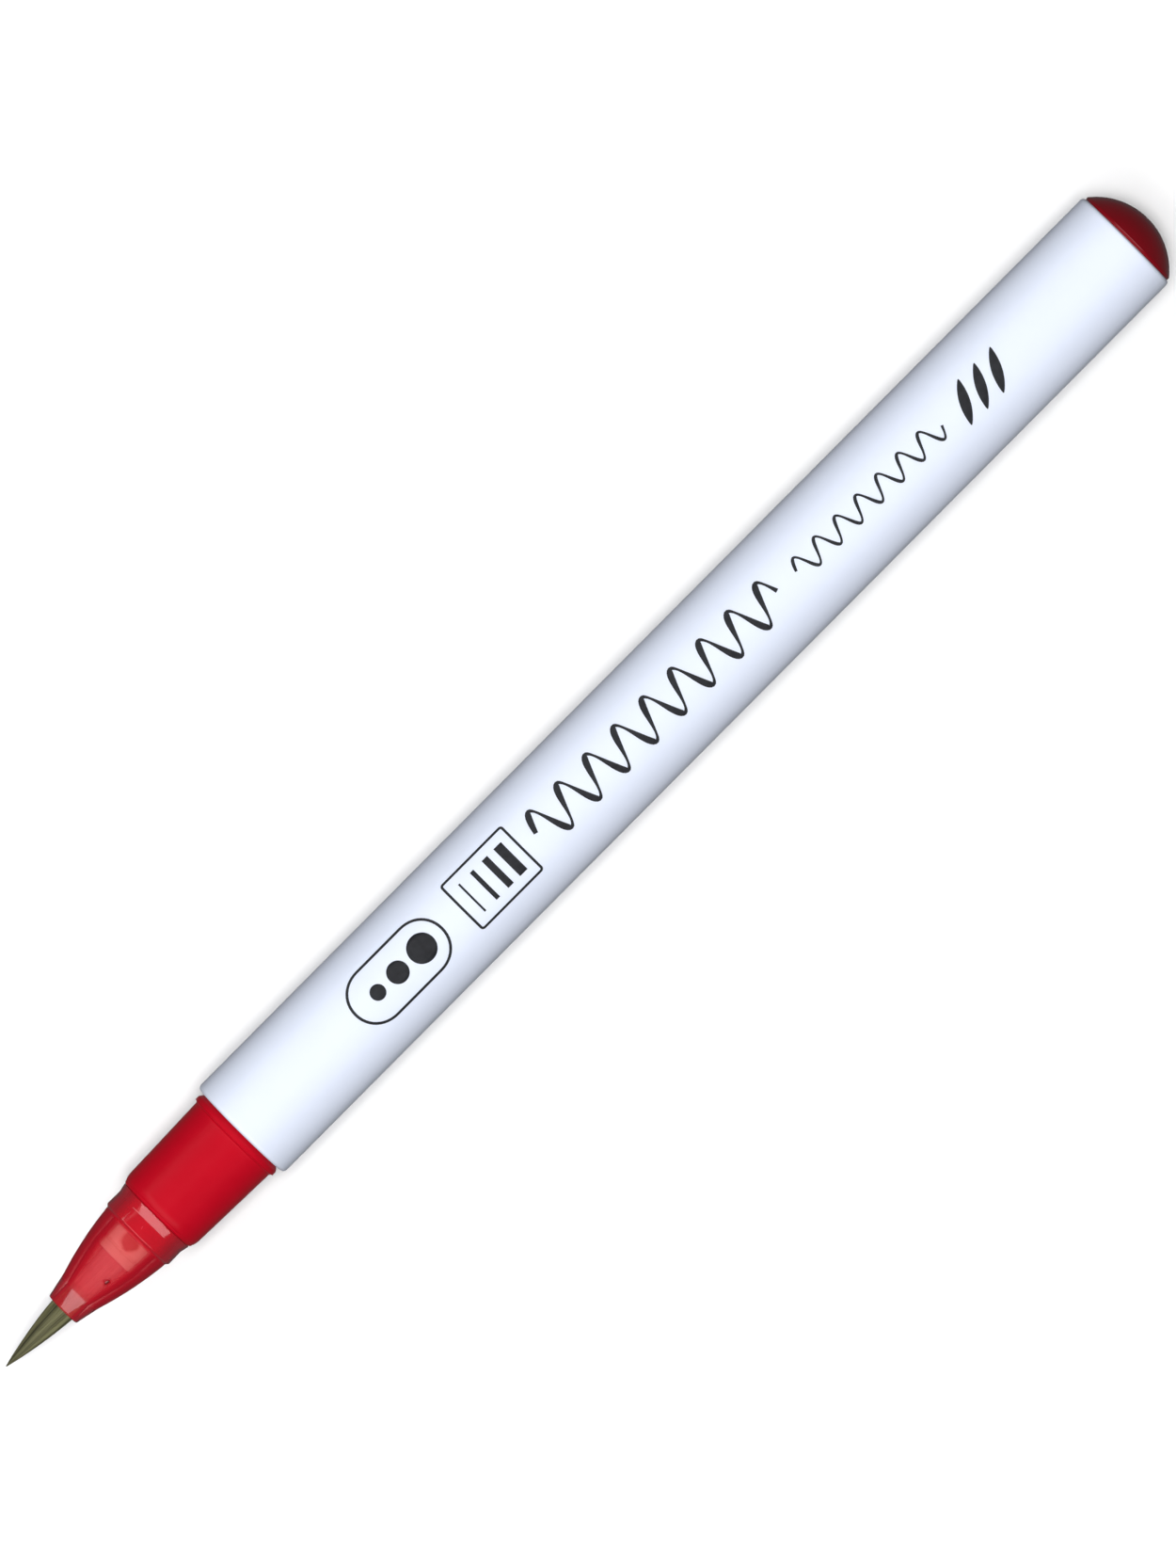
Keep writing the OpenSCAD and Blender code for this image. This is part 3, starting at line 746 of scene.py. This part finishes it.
def makeBrush(shape):
    firstBend, secondBend = bendPlaces["brush_bend"], bendPlaces["point_bend"]
    cutX = ((firstBend - shape["firstAhead"]) + (secondBend + shape["secondBehind"])) / 2
    rootX = backOf("brush_root") + shape["rootX"]
    strands = drawStrands(shape)
    made = []
    for name, startX, endX, uneven in (("tuft_lower", rootX, cutX, 0), ("tuft_upper", cutX, tipX, 1)):
        bm = bmesh.new()
        shadeLayer = bm.verts.layers.float.new("strandShade")
        addHeart(bm, shadeLayer, startX, endX + uneven * shape["heartShort"], shape)
        for strand in strands:
            addStrand(bm, shadeLayer, startX, endX + uneven * strand["short"], strand, shape)
        piece = makePiece(name, bm, filamentOlive, 60)
        made.append(piece)
    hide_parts("brush_root", "brush_belly")
    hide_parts("brush_point")
    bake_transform(made[0])
    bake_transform(made[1])


makeBrush(brushShape)
print("brush made")


# plain marks with no letters, wrapped round the top of the barrel; half is half the width of a line
printShape = {
    "lift": 0.012, "thick": 0.03, "columns": 6, "step": 0.25, "cornerSteps": 12, "dropSteps": 24,
    "dropsFrame": {"front": 14.6, "back": 25.4, "halfTall": 2.7, "corner": 2.68, "half": 0.13},
    "drops": ((17.4, 0.75), (19.9, 1.05), (22.9, 1.4)),
    "scaleFrame": {"front": 27.9, "back": 35.4, "halfTall": 2.75, "corner": 0.25, "half": 0.12},
    "bars": 4, "barFront": 29.2, "barStep": 1.6, "barReach": 1.7, "barHalf": 0.1, "barGrowth": 0.12,
    "waveWide": {"front": 37.2, "long": 30.2, "swings": 8.5, "reach": 1.85, "half": 0.21, "swell": 0.1,
                 "steps": 240},
    "waveFine": {"front": 69.8, "long": 18.2, "swings": 7, "reach": 1.05, "half": 0.13, "swell": 0.03,
                 "steps": 180},
    "dabs": 3, "dabFront": 89.9, "dabStep": 2.0, "dabReach": 1.9, "dabTip": 0.04, "dabSwell": 0.46,
    "dabSteps": 20}


def evenPath(path, closed):
    # cuts long steps short, so that the stroke follows the round of the barrel
    even = []
    ends = path + path[:1] if closed else path
    for start, end in zip(ends, ends[1:]):
        parts = max(1, math.ceil(math.dist(start[:2], end[:2]) / printShape["step"]))
        even += [tuple(a + (b - a) * k / parts for a, b in zip(start, end)) for k in range(parts)]
    return even if closed else even + [path[-1]]


def addStroke(bm, path, closed=False):
    # path is a list of (x, side, half) in mm on the unrolled barrel; side runs toward +Y from the top line
    columns = printShape["columns"]
    radius = barrelRadius + printShape["lift"]
    rows = []
    path = evenPath(path, closed)
    count = len(path)
    for i, (x, side, half) in enumerate(path):
        before = path[i - 1] if closed or i else path[i]
        after = path[(i + 1) % count] if closed or i < count - 1 else path[i]
        run = Vector((after[0] - before[0], after[1] - before[1])).normalized()
        row = []
        for c in range(columns + 1):
            across = half * (2 * c / columns - 1)
            turn = (side + run.x * across) / barrelRadius
            row.append(bm.verts.new(penPoint(x - run.y * across, radius * math.sin(turn),
                                             radius * math.cos(turn))))
        rows.append(row)
    pairs = list(zip(rows, rows[1:]))
    if closed:
        pairs.append((rows[-1], rows[0]))
    for row, following in pairs:
        for c in range(columns):
            bm.faces.new([row[c], row[c + 1], following[c + 1], following[c]])


def finishPrint(name, bm):
    piece = makePiece(name, bm, printBlack)
    for polygon in piece.data.polygons:
        if polygon.normal.z < 0:
            polygon.flip()
    film = piece.modifiers.new("Ink film", "SOLIDIFY")
    film.thickness = printShape["thick"] * mm
    film.offset = -1
    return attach(piece, "pen")


def roundedFrame(box):
    # a closed line round a box with rounded corners
    path = []
    corner = box["corner"]
    front, back, top = box["front"] + corner, box["back"] - corner, box["halfTall"] - corner
    for cx, cy, start in ((back, top, 0), (front, top, 90), (front, -top, 180), (back, -top, 270)):
        for k in range(printShape["cornerSteps"] + 1):
            a = math.radians(start + 90 * k / printShape["cornerSteps"])
            path.append((cx + corner * math.cos(a), cy + corner * math.sin(a), box["half"]))
    return path


def disc(cx, radius):
    # a stroke along the top line that swells to a round drop
    path = []
    for k in range(printShape["dropSteps"] + 1):
        a = math.pi * k / printShape["dropSteps"]
        path.append((cx - radius * math.cos(a), 0, max(1e-4, radius * math.sin(a))))
    return path


def wavePath(wave):
    # a line that swings from side to side and swells twice in each swing
    path = []
    for k in range(wave["steps"] + 1):
        s = k / wave["steps"]
        swing = 2 * math.pi * wave["swings"] * s
        path.append((wave["front"] + wave["long"] * s, wave["reach"] * math.sin(swing),
                     wave["half"] + wave["swell"] * math.sin(2 * swing)))
    return path


def dabPath(front, shape):
    # one touch of the brush, slanted, thick in the middle and fine at both ends
    path = []
    for i in range(shape["dabSteps"] + 1):
        s = i / shape["dabSteps"]
        path.append((front + shape["dabStep"] * s, shape["dabReach"] * (2 * s - 1),
                     shape["dabTip"] + shape["dabSwell"] * math.sin(math.pi * s) ** 0.8))
    return path


def makePrint(shape):
    drops = bmesh.new()
    addStroke(drops, roundedFrame(shape["dropsFrame"]), closed=True)
    for cx, radius in shape["drops"]:
        addStroke(drops, disc(cx, radius))
    finishPrint("print_drops", drops)

    scaleBox = bmesh.new()
    addStroke(scaleBox, roundedFrame(shape["scaleFrame"]), closed=True)
    for k in range(shape["bars"]):
        x = shape["barFront"] + shape["barStep"] * k
        half = shape["barHalf"] + shape["barGrowth"] * k
        addStroke(scaleBox, [(x, -shape["barReach"], half), (x, shape["barReach"], half)])
    finishPrint("print_width_scale", scaleBox)

    for name, wave in (("print_wave_wide", shape["waveWide"]), ("print_wave_fine", shape["waveFine"])):
        bm = bmesh.new()
        addStroke(bm, wavePath(wave))
        finishPrint(name, bm)

    dabs = bmesh.new()
    for k in range(shape["dabs"]):
        addStroke(dabs, dabPath(shape["dabFront"] + shape["dabStep"] * k, shape))
    finishPrint("print_dabs", dabs)


makePrint(printShape)
print("print made")


# places and sizes in metres, the lens and its sensor in mm
studio = {"floorSize": 3.0, "roomColour": "#e4e6ea", "roomLight": 0.14, "cameraTurn": -45.158, "lens": 480.0,
          "sensor": 36.0, "viewTall": 0.1388, "aim": (0.00125, -0.00018), "sideStep": 0.029, "clipEnd": 20}
# the softbox and the ceiling leave no reflection in the pen, and the rear strip is nothing but a reflection
lamps = {
    "softbox_overhead": {"where": (0, -0.03, 2.0), "size": (0.7, 0.7), "watts": 28, "hide": "visible_glossy"},
    "bounced_ceiling": {"where": (0, 0, 2.3), "size": (7.0, 7.0), "watts": 22, "hide": "visible_glossy"},
    "striplight_front": {"where": (-0.52, 0.05, 0.97), "size": (3.6, 0.4), "watts": 10.5},
    "striplight_rear": {"where": (0.8, 0, 0.76), "size": (1.4, 0.3), "watts": 5, "hide": "visible_diffuse"}}


def makeFloor():
    bm = bmesh.new()
    bmesh.ops.create_grid(bm, x_segments=1, y_segments=1, size=studio["floorSize"] / 2)
    # smooth matt background paper: even white with a very faint fibre mottle
    paper, tree, place = startMaterial("matt_white_paper")
    mottle = addNode(tree, "ShaderNodeTexNoise", {"Scale": 1 / (4 * mm), "Detail": 3.0}, {"Vector": place})
    shade = addNode(tree, "ShaderNodeMix",
                    {"data_type": "RGBA", "A": hexColour("#f8f8f8"), "B": hexColour("#fcfcfc")},
                    {"Factor": mottle.outputs["Fac"]})
    surface = addNode(tree, "ShaderNodeBsdfPrincipled", {"Roughness": 0.9, "Specular IOR Level": 0.1},
                      {"Base Color": shade.outputs["Result"]})
    addNode(tree, "ShaderNodeOutputMaterial", links={"Surface": surface.outputs["BSDF"]})
    floor = makePiece("floor", bm, paper)
    # the paper is hidden from reflected and bounced rays, as black flags on both sides would do, so the pen's
    # flanks mirror the dim room instead
    floor.visible_glossy = False
    floor.visible_diffuse = False


def addLight(name, lamp):
    light = bpy.data.lights.new(name, "AREA")
    light.shape = "RECTANGLE"
    light.size, light.size_y = lamp["size"]
    light.energy = lamp["watts"]
    holder = bpy.data.objects.new(name, light)
    holder.location = lamp["where"]
    towardPen = Vector((0, 0, 0)) - Vector(lamp["where"])
    holder.rotation_euler = towardPen.to_track_quat("-Z", "Y").to_euler()
    if "hide" in lamp:
        setattr(holder, lamp["hide"], False)
    scene.collection.objects.link(holder)


def makeRoom():
    world = bpy.data.worlds.new("studio_room")
    world.use_nodes = True
    background = world.node_tree.nodes["Background"]
    background.inputs["Color"].default_value = hexColour(studio["roomColour"])
    background.inputs["Strength"].default_value = studio["roomLight"]
    scene.world = world
    scene.view_settings.view_transform = "Standard"


def makeCamera():
    camera = bpy.data.cameras.new("camera")
    camera.lens = studio["lens"]
    camera.sensor_width = studio["sensor"]
    camera.clip_end = studio["clipEnd"]
    distance = studio["viewTall"] / 2 / (studio["sensor"] / 2 / studio["lens"])
    viewer = bpy.data.objects.new("camera", camera)
    viewer.location = (studio["aim"][0] + studio["sideStep"], studio["aim"][1], axisZ + distance)
    # stands a little toward the tail and looks back at the middle of the pen
    lean = Matrix.Rotation(math.atan(studio["sideStep"] / distance), 3, "Y")
    roll = Matrix.Rotation(math.radians(studio["cameraTurn"]), 3, "Z")
    viewer.rotation_euler = (lean @ roll).to_euler()
    scene.collection.objects.link(viewer)
    scene.camera = viewer


makeFloor()
for lampName, lamp in lamps.items():
    addLight(lampName, lamp)
makeRoom()
makeCamera()
print("floor, lights and camera made")
